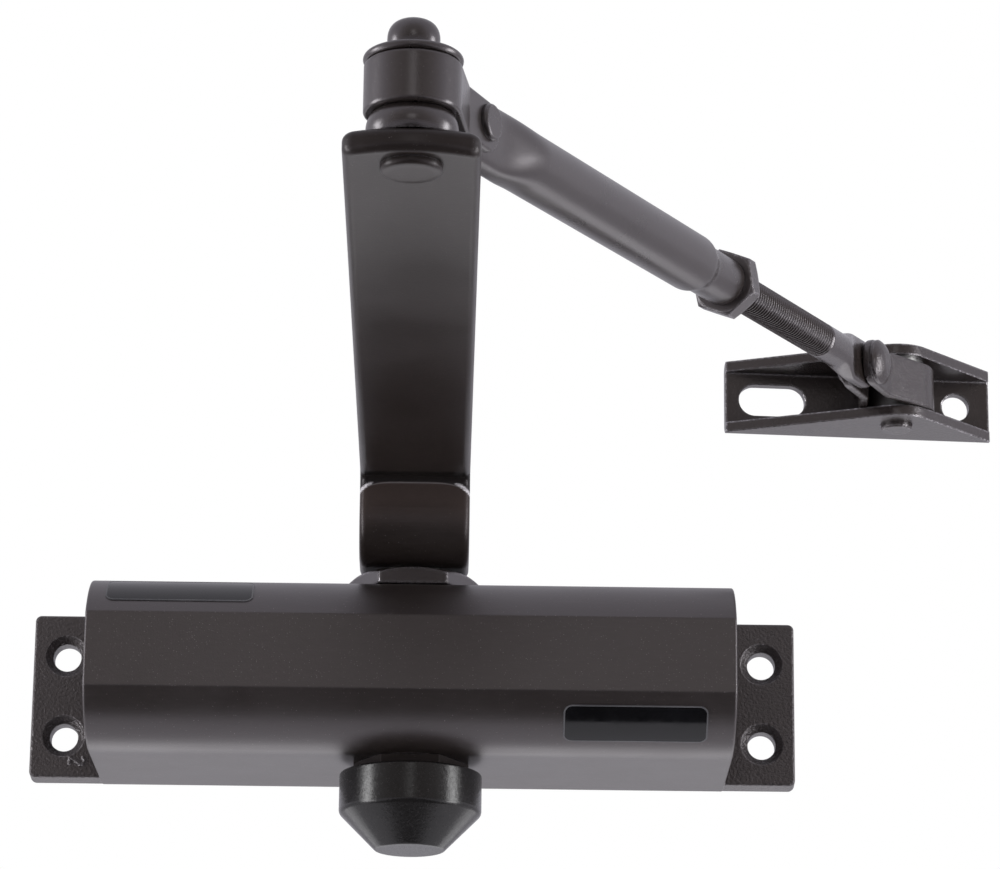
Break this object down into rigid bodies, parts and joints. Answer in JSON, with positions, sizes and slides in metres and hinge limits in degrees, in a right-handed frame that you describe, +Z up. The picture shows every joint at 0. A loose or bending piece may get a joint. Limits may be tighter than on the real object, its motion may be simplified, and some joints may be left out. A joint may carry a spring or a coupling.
{
  "type": "door closer",
  "caption": "Surface-mounted overhead door closer: rack-and-pinion housing with ears, cranked main arm, adjustable two-piece forearm and channel-shaped foot bracket.",
  "frame": {"origin": "centre of the four mounting holes, on the housing's flat mounting face", "axes": "+Z up along the pinion, +Y into the door the housing is screwed to, X along the housing"},
  "size_m": [0.2251, 0.2559, 0.1241],
  "materials": {
    "bronze_paint_cast": "satin dark bronze powder coat on cast aluminium",
    "bronze_paint_steel": "satin dark bronze powder coat on steel",
    "black_rod_steel": "satin black oxide",
    "label_black": "gloss",
    "cap_plastic": "fine-grained satin",
    "bare_steel": "machined",
    "zinc_steel": "zinc plated",
    "spring_steel": "oil tempered",
    "bushing_brass": "machined",
    "seal_rubber": "matte"
  },
  "bodies": {
    "closer_body": {"housing": "bronze_paint_cast", "front_label": "label_black", "upper_label": "label_black", "upper_gland_nut": "bronze_paint_steel", "lower_gland_nut": "bronze_paint_steel", "pinion_cap": "cap_plastic", "pinion_bushings": "bushing_brass", "pinion_seals": "seal_rubber", "main_spring": "spring_steel", "left_end_plug": "bare_steel", "right_end_plug": "bare_steel", "end_plug_o_rings": "seal_rubber"},
    "arm": {"pinion_shaft": "bare_steel", "main_arm": "bronze_paint_steel", "arm_screw": "zinc_steel", "arm_washer": "zinc_steel", "elbow_pin": "bronze_paint_steel", "elbow_bush": "bronze_paint_steel", "elbow_cap_washer": "bronze_paint_steel"},
    "piston": {"rack_piston": "bare_steel", "check_valve_seat": "bushing_brass", "check_valve_ball": "bare_steel"},
    "closing_valve": {"closing_valve_screw": "bushing_brass", "closing_valve_o_ring": "seal_rubber"},
    "latching_valve": {"latching_valve_screw": "bushing_brass", "latching_valve_o_ring": "seal_rubber"},
    "elbow_knuckle": {"elbow_strap": "bronze_paint_steel", "elbow_strap_rivet": "bronze_paint_steel"},
    "forearm": {"forearm_tube": "bronze_paint_steel"},
    "lock_nut_body": {"lock_nut": "bronze_paint_steel"},
    "rod": {"forearm_rod": "black_rod_steel"},
    "foot_knuckle": {"foot_strap": "bronze_paint_steel", "foot_strap_rivet": "bronze_paint_steel"},
    "foot": {"foot_bracket": "bronze_paint_steel", "foot_pin": "bronze_paint_steel", "foot_bush": "bare_steel"}
  },
  "joints": [
    {"name": "pinion_turn", "type": "hinge", "parent": "closer_body", "child": "arm", "pos_m": [0, -0.026, 0], "axis": [0, 0, 1], "range_deg": [0, 170], "stiffness_Nm_per_rad": 4},
    {"name": "piston_slide", "type": "slide", "parent": "closer_body", "child": "piston", "axis": [1, 0, 0], "range_m": [0, 0.0195], "deforming": ["main_spring"]},
    {"name": "closing_valve_turn", "type": "hinge", "parent": "closer_body", "child": "closing_valve", "pos_m": [-0.064, -0.0475, 0.0055], "axis": [-1, 0, 0], "range_deg": [-360, 360]},
    {"name": "latching_valve_turn", "type": "hinge", "parent": "closer_body", "child": "latching_valve", "pos_m": [-0.064, -0.0475, -0.0055], "axis": [-1, 0, 0], "range_deg": [-360, 360]},
    {"name": "elbow_swivel", "type": "hinge", "parent": "arm", "child": "elbow_knuckle", "pos_m": [0.00216, -0.24469, 0.0575], "axis": [0, 0, -1], "range_deg": [-10, 154]},
    {"name": "elbow_tilt", "type": "hinge", "parent": "elbow_knuckle", "child": "forearm", "pos_m": [0.01122, -0.22575, 0.0575], "axis": [0.9021, -0.4315, 0], "range_deg": [-4, 40]},
    {"name": "lock_nut_spin", "type": "hinge", "parent": "forearm", "child": "lock_nut_body", "pos_m": [0.06689, -0.10937, 0.06761], "axis": [0.4302, 0.8993, 0.0781], "continuous": true},
    {"name": "rod_length", "type": "slide", "parent": "forearm", "child": "rod", "axis": [0.4302, 0.8993, 0.0781], "range_m": [-0.035, 0.025]},
    {"name": "foot_tilt", "type": "hinge", "parent": "rod", "child": "foot_knuckle", "pos_m": [0.10266, -0.0346, 0.0741], "axis": [0.9021, -0.4315, 0], "range_deg": [-25, 30]},
    {"name": "foot_swivel", "type": "hinge", "parent": "foot_knuckle", "child": "foot", "pos_m": [0.1128, -0.0134, 0.0741], "axis": [0, 0, 1], "range_deg": [-115, 54]}
  ],
  "couplings": [
    {"joint": "piston_slide", "follows": "pinion_turn", "m_per_rad": 0.0065}
  ]
}
